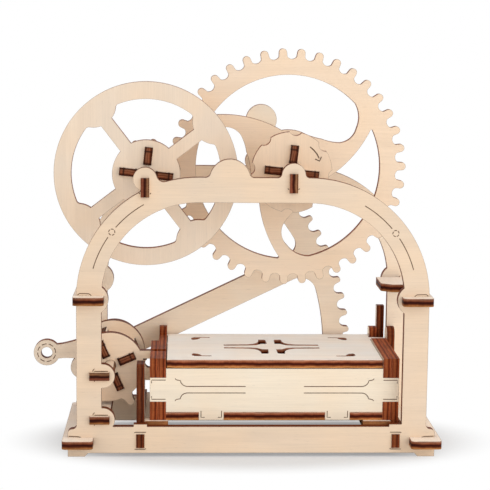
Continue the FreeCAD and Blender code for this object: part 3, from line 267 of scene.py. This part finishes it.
def face_look(g, depth, along, across, tint, seed):
    """Birch face veneer: fine dark pores and soft figure along the grain. Gives colour and height."""
    shifted = g.calc("ADD", across, seed * SEED_SHIFT)
    streak = g.noise(g.stretch(along, shifted, seed, FACE_STREAK_RATES), 1.0, 3.0)
    figure = g.noise(g.stretch(along, shifted, seed, FACE_FIGURE_RATES), 1.0, 3.0)
    cloud = g.noise(g.pack(along, shifted, depth), FACE_CLOUD_RATE, 2.0)
    pore = g.span(g.noise(g.stretch(along, shifted, seed, FACE_PORE_RATES), 1.0, 1.0), *PORE_SPAN)
    light = g.calc("ADD", g.span(streak, *NOISE_WIDE, *FACE_STREAK_LIGHT),
                   g.span(figure, *NOISE_WIDE, *FACE_FIGURE_LIGHT))
    light = g.calc("ADD", light, g.span(cloud, *NOISE_CORE, *FACE_CLOUD_LIGHT))
    light = g.calc("SUBTRACT", light, g.calc("MULTIPLY", pore, PORE_DARKNESS))
    warm = g.blend(g.span(cloud, *NOISE_CORE, 0.0, FACE_WARM_SHARE), tint, FACE_WARM)
    face = g.blend(1.0, warm, g.pack(light, light, light), "MULTIPLY")
    return face, g.calc("MULTIPLY", g.calc("ADD", streak, figure), 0.5)


def edge_look(g, depth, along, across, plies, char, seed):
    """Laser-burnt edge: the plies as bands that waver a little, with streaks along them."""
    waver = g.noise(g.pack(along, across, seed), EDGE_WAVER_RATE, 2.0)
    bands = g.ramp(g.calc("ADD", depth, g.span(waver, *NOISE_CORE, *EDGE_WAVER)), plies)
    streak = g.noise(g.stretch(along, across, depth, EDGE_STREAK_RATES), 1.0, 3.0, EDGE_STREAK_GRIT)
    kerf = g.noise(g.stretch(along, across, seed, EDGE_KERF_RATES), 1.0, 2.0)
    patch = g.noise(g.pack(along, across, seed + PATCH_SEED), EDGE_PATCH_RATE, 2.0)
    patch_light = [light * char for light in EDGE_PATCH_LIGHT]
    light = g.calc("MULTIPLY", g.span(streak, *NOISE_CORE, *EDGE_STREAK_LIGHT),
                   g.span(kerf, *NOISE_CORE, *EDGE_KERF_LIGHT))
    light = g.calc("MULTIPLY", light, g.span(patch, *NOISE_CORE, *patch_light))
    return g.blend(1.0, bands, g.pack(light, light, light), "MULTIPLY"), streak


def face_outline(g):
    """1 close to a face's sharp border, where the cut has darkened it and painted shade is added, and 0
    inside.
    """
    bevel = g.node("ShaderNodeBevel")
    bevel.samples = BEVEL_SAMPLES
    bevel.inputs["Radius"].default_value = OUTLINE_REACH * MM
    flat = g.node("ShaderNodeNewGeometry").outputs["Normal"]
    made = g.node("ShaderNodeVectorMath", bevel.outputs[0], flat, operation="DOT_PRODUCT")
    return g.span(made.outputs["Value"], *OUTLINE_TURN, 1.0, 0.0)


def ply_look(g, depth, along, across, is_face, tint, plies, char, seed):
    """Colour, height and roughness of a plywood sheet; lengths come in metres."""
    face, face_height = face_look(g, depth, along, across, tint, seed)
    # Faces darken along their borders: laser burn and painted shade
    face = g.blend(g.calc("MULTIPLY", face_outline(g), OUTLINE_SHARE), face, OUTLINE)
    edge, edge_height = edge_look(g, depth, along, across, plies, char, seed)
    colour = g.blend(is_face, edge, face)
    height = g.calc("ADD", g.calc("MULTIPLY", is_face, face_height),
                    g.calc("MULTIPLY", g.calc("SUBTRACT", 1.0, is_face), edge_height))
    rough = g.span(is_face, 0.0, 1.0, EDGE_ROUGH, FACE_ROUGH)
    return colour, height, rough


def finish_material(g, colour, height, rough):
    bump = g.node("ShaderNodeBump")
    bump.inputs["Strength"].default_value = BUMP_STRENGTH
    bump.inputs["Distance"].default_value = BUMP_HEIGHT
    g.feed(bump.inputs["Height"], height)
    shader = g.node("ShaderNodeBsdfPrincipled")
    g.feed(shader.inputs["Base Color"], colour)
    g.feed(shader.inputs["Roughness"], rough)
    g.feed(shader.inputs["Normal"], bump.outputs[0])
    shader.inputs["Specular IOR Level"].default_value = GLOSS
    g.node("ShaderNodeOutputMaterial", shader.outputs[0])


def sheet_material(name, thick_axis, grain_axis, start, tint, plies, char, seed):
    """Plywood whose plies are stacked along thick_axis from start, with grain along grain_axis."""
    material = bpy.data.materials.new(name)
    g = Graph(material)
    coords = g.node("ShaderNodeTexCoord")
    place, normal = coords.outputs["Object"], coords.outputs["Normal"]
    thick = Vector(thick_axis)
    grain = Vector(grain_axis)
    across_axis = thick.cross(grain)
    depth = g.span(g.dot(place, thick), start, start + PLY * MM)
    is_face = g.calc("GREATER_THAN", g.calc("ABSOLUTE", g.dot(normal, thick)), FACE_LEAN)
    colour, height, rough = ply_look(
        g, depth, g.dot(place, grain), g.dot(place, across_axis), is_face, tint, plies, char, seed)
    finish_material(g, colour, height, rough)
    return material


def key_material(name, centre, angle, tint, char, seed):
    """Four crossed strips about an axle along Y: each strip's plies lie across its own radius."""
    material = bpy.data.materials.new(name)
    g = Graph(material)
    coords = g.node("ShaderNodeTexCoord")
    place, normal = coords.outputs["Object"], coords.outputs["Normal"]
    turn = math.radians(angle)
    first = Vector((math.cos(turn), 0, math.sin(turn)))
    second = Vector((-math.sin(turn), 0, math.cos(turn)))
    u = g.calc("SUBTRACT", g.dot(place, first), centre.dot(first))
    v = g.calc("SUBTRACT", g.dot(place, second), centre.dot(second))
    on_first = g.calc("GREATER_THAN", g.calc("ABSOLUTE", u), g.calc("ABSOLUTE", v))
    off_first = g.calc("SUBTRACT", 1.0, on_first)

    def pick(one, two):
        return g.calc("ADD", g.calc("MULTIPLY", one, on_first), g.calc("MULTIPLY", two, off_first))

    depth = g.span(pick(v, u), -PLY * MM / 2, PLY * MM / 2)
    toward = pick(g.dot(normal, second), g.dot(normal, first))
    is_face = g.calc("GREATER_THAN", g.calc("ABSOLUTE", toward), FACE_LEAN)
    reach = g.calc("ABSOLUTE", pick(u, v))
    colour, height, rough = ply_look(
        g, depth, g.dot(place, Y_AXIS), pick(u, v), is_face, tint, KEY_PLIES, char, seed)
    for middle, half, share in KEY_SCORCH:
        off = g.calc("ABSOLUTE", g.calc("SUBTRACT", reach, middle * MM))
        near = g.span(off, half * KEY_SCORCH_CORE * MM, half * MM, share, 0.0)
        colour = g.blend(near, colour, SCORCH)
    finish_material(g, colour, height, rough)
    return material


SHEETS = {
    "front_frame": (Y_AXIS, X_AXIS, "frame"),
    "rear_frame": (Y_AXIS, X_AXIS, "rear"),
    "left_shelf": (Z_AXIS, Y_AXIS, "board"),
    "right_shelf": (Z_AXIS, Y_AXIS, "board"),
    "left_foot_board": (Z_AXIS, Y_AXIS, "board"),
    "right_foot_board": (Z_AXIS, Y_AXIS, "board"),
    "lower_tie_bar": (Z_AXIS, Y_AXIS, "board"),
    "left_guide_board": (X_AXIS, Y_AXIS, "board"),
    "right_guide_board": (X_AXIS, Y_AXIS, "board"),
    "left_runner": (Z_AXIS, Y_AXIS, "board"),
    "right_runner": (Z_AXIS, Y_AXIS, "board"),
    "right_cheek_plate": (X_AXIS, Y_AXIS, "board"),
    "wheel_spindle": (X_AXIS, Y_AXIS, "frame"),
    "gear_spindle": (X_AXIS, Y_AXIS, "frame"),
    "lever_spindle": (Z_AXIS, Y_AXIS, "frame"),
    "handwheel": (Y_AXIS, Z_AXIS, "wheel"),
    "wheel_pinion": (Y_AXIS, X_AXIS, "gear"),
    "arrow_disc": (Y_AXIS, Z_AXIS, "disc"),
    "big_gear": (Y_AXIS, X_AXIS, "gear"),
    "stop_arm": (Y_AXIS, X_AXIS, "stop"),
    "sector_pinion": (Y_AXIS, X_AXIS, "gear"),
    "cam_plate": (Y_AXIS, X_AXIS, "cam"),
    "spacer_disc": (Y_AXIS, X_AXIS, "cam"),
    "sector_lever": (Y_AXIS, X_AXIS, "lever"),
    "box_front": (Y_AXIS, X_AXIS, "box"),
    "box_rear": (Y_AXIS, X_AXIS, "box"),
    "box_bottom": (Z_AXIS, X_AXIS, "box"),
    "box_left_inner_end": (X_AXIS, Y_AXIS, "box"),
    "box_left_outer_end": (X_AXIS, Y_AXIS, "box"),
    "box_right_inner_end": (X_AXIS, Y_AXIS, "box"),
    "box_right_outer_end": (X_AXIS, Y_AXIS, "box"),
    "lid": (Z_AXIS, X_AXIS, "lid"),
}
SPINDLES = ("wheel_spindle", "gear_spindle", "lever_spindle")
KEY_ANGLE = 84.0
LEVER_KEY_ANGLE = 23.4
KEYS = {"wheel_keys": KEY_ANGLE, "gear_keys": KEY_ANGLE, "lever_keys": LEVER_KEY_ANGLE}


def middle_of(node):
    low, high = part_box(node)
    return (low + high) / 2


def sheet_start(node, axis):
    """Where the sheet begins along its thickness; a spindle's tabs are centred on its bar."""
    if node in SPINDLES:
        return middle_of(node).dot(Vector(axis)) - PLY * MM / 2
    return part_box(node)[0].dot(Vector(axis))


def sheet_plies(node, thick):
    """The colours of a sheet's edges, by how it lies and what the laser left on it; the runners' ends also
    carry painted shade.
    """
    if node in SPINDLES:
        return TAB_PLIES
    if thick != Z_AXIS:
        return UPRIGHT_PLIES
    # Runners' ends: hardly burnt wood with painted shade
    return TAN_PLIES if node.endswith("runner") else LEVEL_PLIES


def wear(node, material):
    NODES[node].data.materials.clear()
    NODES[node].data.materials.append(material)


def dress_nodes():
    for seed, (node, (thick, grain, tint)) in enumerate(SHEETS.items()):
        wear(node, sheet_material(f"ply_{node}", thick, grain, sheet_start(node, thick), FACE[tint],
                                  sheet_plies(node, thick), CHAR.get(node, EVEN_CHAR),
                                  seed + SHEET_SEED))
    for seed, (node, angle) in enumerate(KEYS.items()):
        wear(node, key_material(f"ply_{node}", middle_of(node), angle, FACE["board"], CHAR[node],
                                seed + KEY_SEED))


# Engraved lines
LINE_WIDTH = 0.42
LINE_PROUD = 0.03
LINE_SUNK = 0.05
LINE_LOOK = ((0.0, (78, 56, 40)), (1.0, (126, 100, 80)))
LINE_SCORCH_RATE = 420.0
LINE_ROUGH = 0.8
ARROW_WIDTH = 0.55
# Arch lines: two arcs on each side, with a broken ring between them
ARCH_CENTRE = (27.0, 79.1)
ARCH_LINE_RADIUS = 53.1
ARCH_LINE_ANGLES = ((60.0, 41.0), (34.5, 16.0))
ARCH_RING_ANGLE = 37.8
ARCH_RING = (1.5, 5, 0.72)
# Broken ring around the hole of the lever's loop
LOOP_CENTRE = (-107.0, 36.5)
LOOP_RING = (4.8, 8, 0.7)
# Lines on the front frame as X, Z points: beside its foot and its shelf, on both sides
FOOT_LINE = [(84.2, 9.7), (85.6, 10.1), (90.2, 10.3)]
SHELF_LINE = [(78.9, 80.5), (80.1, 81.4), (84.6, 81.5), (85.6, 80.8)]
# Above and below the slots of the guide boards, mirrored in the guides' middle
SLOT_LINES = [[(68.4, 12.3), (73.6, 12.3), (74.1, 12.0)], [(68.4, 4.0), (69.0, 3.7), (74.0, 3.7)]]
GUIDE_MIDDLE_X = 8.05
# Around the two left side tabs, from the tab's upper edge down
SIDE_TAB_TOPS = (42.6, 20.6)
SIDE_TAB_LINES = [
    [(-78.3, 0.2), (-78.2, 0.9), (-77.5, 1.6)], [(-77.6, 0.35), (-71.0, 0.35)],
    [(-77.6, -4.3), (-77.5, -4.9)]]
# Beside the axles' front tabs, from each tab's middle and lower end
AXLE_TABS = ((-53.0, 130.2), (18.8, 132.8))
AXLE_TAB_TICK = [(-2.9, 0.5), (-2.3, 0.0)]
# Lines on the box front, mirrored in its middles
BOX_MIDDLE_X = 11.3
BOX_MIDDLE_Z = 32.35
FLARE_START = [(25.8, 34.0), (54.2, 34.0)]
FLARE_BEND = ((54.6, 37.6), 3.6, 275, 350, 6)
FLARE_END = [(59.3, 37.15), (60.2, 37.4), (60.7, 38.0)]
BOX_SIDE_TAB_LINE = [(65.4, 37.2), (72.3, 37.2), (72.3, 35.6)]
BOX_FOOT_TAB_LINE = [(47.8, 21.6), (47.8, 18.3), (46.0, 18.3)]
BOX_FOOT_TAB_MIDDLE_X = 42.7
ARROW_LINES = [
    [(27.6, 152.4), (29.6, 150.7), (31.2, 148.7), (32.2, 146.7)],
    [(30.2, 146.4), (32.4, 145.4), (33.3, 147.5)]]


def arc(centre, radius, start, end, steps=12):
    """Points of an arc, with angles in degrees seen from the front."""
    angles = [math.radians(start + (end - start) * step / steps) for step in range(steps + 1)]
    return [(centre[0] + radius * math.cos(a), centre[1] + radius * math.sin(a)) for a in angles]


def mirror_x(stroke, middle=0.0):
    return [(2 * middle - x, z) for x, z in stroke]


def mirror_z(stroke, middle):
    return [(x, 2 * middle - z) for x, z in stroke]


def moved(stroke, x=0.0, z=0.0):
    return [(one + x, two + z) for one, two in stroke]


def dashes(centre, radius, count, share):
    """A ring broken into count arcs that each fill a share of their step."""
    step = 360 / count
    return [arc(centre, radius, number * step, (number + share) * step, 3) for number in range(count)]


def add_stroke(mesh, stroke, face_y, width):
    """One closed ribbon that follows a stroke and stands a hair proud of the face."""
    points = [Vector((x, 0, z)) for x, z in stroke]
    rings = []
    for index, point in enumerate(points):
        before = points[max(index - 1, 0)]
        after = points[min(index + 1, len(points) - 1)]
        step = (after - before).normalized()
        side = Vector((-step.z, 0, step.x)) * (width / 2)
        ring = []
        for offset, y in ((side, -LINE_PROUD), (-side, -LINE_PROUD), (-side, LINE_SUNK), (side, LINE_SUNK)):
            spot = point + offset
            ring.append(mesh.verts.new(at(spot.x, face_y + y, spot.z)))
        rings.append(ring)
    for one, two in zip(rings, rings[1:]):
        for corner in range(4):
            following = (corner + 1) % 4
            mesh.faces.new((one[corner], one[following], two[following], two[corner]))
    mesh.faces.new(rings[0][::-1])
    mesh.faces.new(rings[-1])


def line_material():
    """Scorched groove whose darkness varies along the line."""
    material = bpy.data.materials.new("engraved_line")
    g = Graph(material)
    place = g.node("ShaderNodeTexCoord").outputs["Object"]
    scorch = g.noise(place, LINE_SCORCH_RATE, 2.0)
    finish_material(g, g.ramp(g.span(scorch, *NOISE_CORE), LINE_LOOK), scorch, LINE_ROUGH)
    return material


def engrave(name, body, face_y, strokes, material, width=LINE_WIDTH):
    mesh = bmesh.new()
    for stroke in strokes:
        add_stroke(mesh, stroke, face_y, width)
    bmesh.ops.recalc_face_normals(mesh, faces=mesh.faces)
    data = bpy.data.meshes.new(name)
    mesh.to_mesh(data)
    mesh.free()
    data.materials.append(material)
    piece = bpy.data.objects.new(name, data)
    bpy.context.scene.collection.objects.link(piece)
    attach(piece, body)


def frame_strokes():
    """The front frame's arch lines, slot lines and small ticks."""
    arch = [arc(ARCH_CENTRE, ARCH_LINE_RADIUS, *angles) for angles in ARCH_LINE_ANGLES]
    ring_centre = arc(ARCH_CENTRE, ARCH_LINE_RADIUS, ARCH_RING_ANGLE, ARCH_RING_ANGLE, 1)[0]
    both = arch + dashes(ring_centre, *ARCH_RING) + [FOOT_LINE, SHELF_LINE]
    strokes = both + [mirror_x(stroke) for stroke in both]
    strokes += SLOT_LINES + [mirror_x(stroke, GUIDE_MIDDLE_X) for stroke in SLOT_LINES]
    for top in SIDE_TAB_TOPS:
        strokes += [moved(stroke, z=top) for stroke in SIDE_TAB_LINES]
    for middle, low in AXLE_TABS:
        tick = moved(AXLE_TAB_TICK, middle, low)
        strokes += [tick, mirror_x(tick, middle)[::-1]]
    return strokes


def box_strokes():
    """Paired lines that flare apart at their outer ends, and corner marks on the tabs."""
    quarter = [FLARE_START + arc(*FLARE_BEND) + FLARE_END, BOX_SIDE_TAB_LINE]
    upper = quarter + [mirror_x(stroke, BOX_MIDDLE_X) for stroke in quarter]
    strokes = upper + [mirror_z(stroke, BOX_MIDDLE_Z) for stroke in upper]
    feet = [BOX_FOOT_TAB_LINE, mirror_x(BOX_FOOT_TAB_LINE, BOX_FOOT_TAB_MIDDLE_X)]
    return strokes + feet + [mirror_x(stroke, BOX_MIDDLE_X) for stroke in feet]


def front_of(node):
    return (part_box(node)[0].y - HERE.y) / MM


def engrave_boards():
    material = line_material()
    engrave("frame_engraving", "frame", 0.0, frame_strokes(), material)
    engrave("box_engraving", "frame", front_of("box_front"), box_strokes(), material)
    engrave("arrow_engraving", "gear_train", front_of("arrow_disc"), ARROW_LINES, material, ARROW_WIDTH)
    engrave("loop_engraving", "lever", front_of("sector_lever"), dashes(LOOP_CENTRE, *LOOP_RING), material)


# Stage
WHITE = (1.0, 1.0, 1.0, 1.0)
FLOOR_REACH = 6.0
FLOOR_BOUNCE = linear(232, 232, 232)
FLOOR_SEEN = (0.44, 0.44, 0.44, 1.0)
FLOOR_GLOW = 0.31
SHADOW_CENTRE = (2, 32, 0)
SHADOW_REACH = (100.0, 50.0)
SHADOW_FADE = (0.85, 1.32)
ROOM_LIGHT = 0.96
LAMP_TARGET = (0, 30, 90)
# Name, place, size in metres and power in watts
LAMPS = (
    ("key_lamp", (680, -480, 400), 0.7, 2.2),
    ("top_lamp", (-100, -250, 1400), 1.2, 0.7))


def make_floor():
    """White floor: near the object it shows the shadow, and farther off it fades to plain white."""
    mesh = bpy.data.meshes.new("floor")
    corners = [(-FLOOR_REACH, -FLOOR_REACH, 0), (FLOOR_REACH, -FLOOR_REACH, 0),
               (FLOOR_REACH, FLOOR_REACH * 3, 0), (-FLOOR_REACH, FLOOR_REACH * 3, 0)]
    mesh.from_pydata(corners, [], [(0, 1, 2, 3)])
    floor = bpy.data.objects.new("floor", mesh)
    bpy.context.scene.collection.objects.link(floor)
    material = bpy.data.materials.new("floor_white")
    g = Graph(material)
    bounce = g.node("ShaderNodeBsdfDiffuse", FLOOR_BOUNCE)
    seen_shade = g.node("ShaderNodeBsdfDiffuse", FLOOR_SEEN)
    glow = g.node("ShaderNodeEmission", WHITE, FLOOR_GLOW)
    far_white = g.node("ShaderNodeEmission", WHITE, 1.0)
    place = g.node("ShaderNodeTexCoord").outputs["Object"]
    centre = at(*SHADOW_CENTRE)
    shares = [g.calc("DIVIDE", g.calc("SUBTRACT", g.dot(place, axis), centre.dot(Vector(axis))), half * MM)
              for axis, half in zip((X_AXIS, Y_AXIS), SHADOW_REACH)]
    away = g.node("ShaderNodeVectorMath", g.pack(*shares, 0.0), operation="LENGTH").outputs["Value"]
    far = g.span(away, *SHADOW_FADE, smooth=True)
    near = g.node("ShaderNodeAddShader", seen_shade.outputs[0], glow.outputs[0])
    sight = g.node("ShaderNodeMixShader", far, near.outputs[0], far_white.outputs[0])
    seen = g.node("ShaderNodeLightPath").outputs["Is Camera Ray"]
    mixed = g.node("ShaderNodeMixShader", seen, bounce.outputs[0], sight.outputs[0])
    g.node("ShaderNodeOutputMaterial", mixed.outputs[0])
    mesh.materials.append(material)


def make_world():
    """An even white room, seen as plain white."""
    world = bpy.data.worlds.new("studio")
    bpy.context.scene.world = world
    g = Graph(world)
    room = g.node("ShaderNodeBackground", WHITE, ROOM_LIGHT)
    sight = g.node("ShaderNodeBackground", WHITE, 1.0)
    seen = g.node("ShaderNodeLightPath").outputs["Is Camera Ray"]
    mixed = g.node("ShaderNodeMixShader", seen, room.outputs[0], sight.outputs[0])
    g.node("ShaderNodeOutputWorld", mixed.outputs[0])


def make_lamps():
    for name, spot, size, power in LAMPS:
        data = bpy.data.lights.new(name, "AREA")
        data.shape = "DISK"
        data.size = size
        data.energy = power
        lamp = bpy.data.objects.new(name, data)
        lamp.location = at(*spot)
        toward = at(*LAMP_TARGET) - lamp.location
        lamp.rotation_euler = toward.to_track_quat("-Z", "Y").to_euler()
        bpy.context.scene.collection.objects.link(lamp)


bpy.context.scene.view_settings.view_transform = "Standard"
make_camera()
make_world()
make_lamps()
make_floor()
dress_nodes()
engrave_boards()
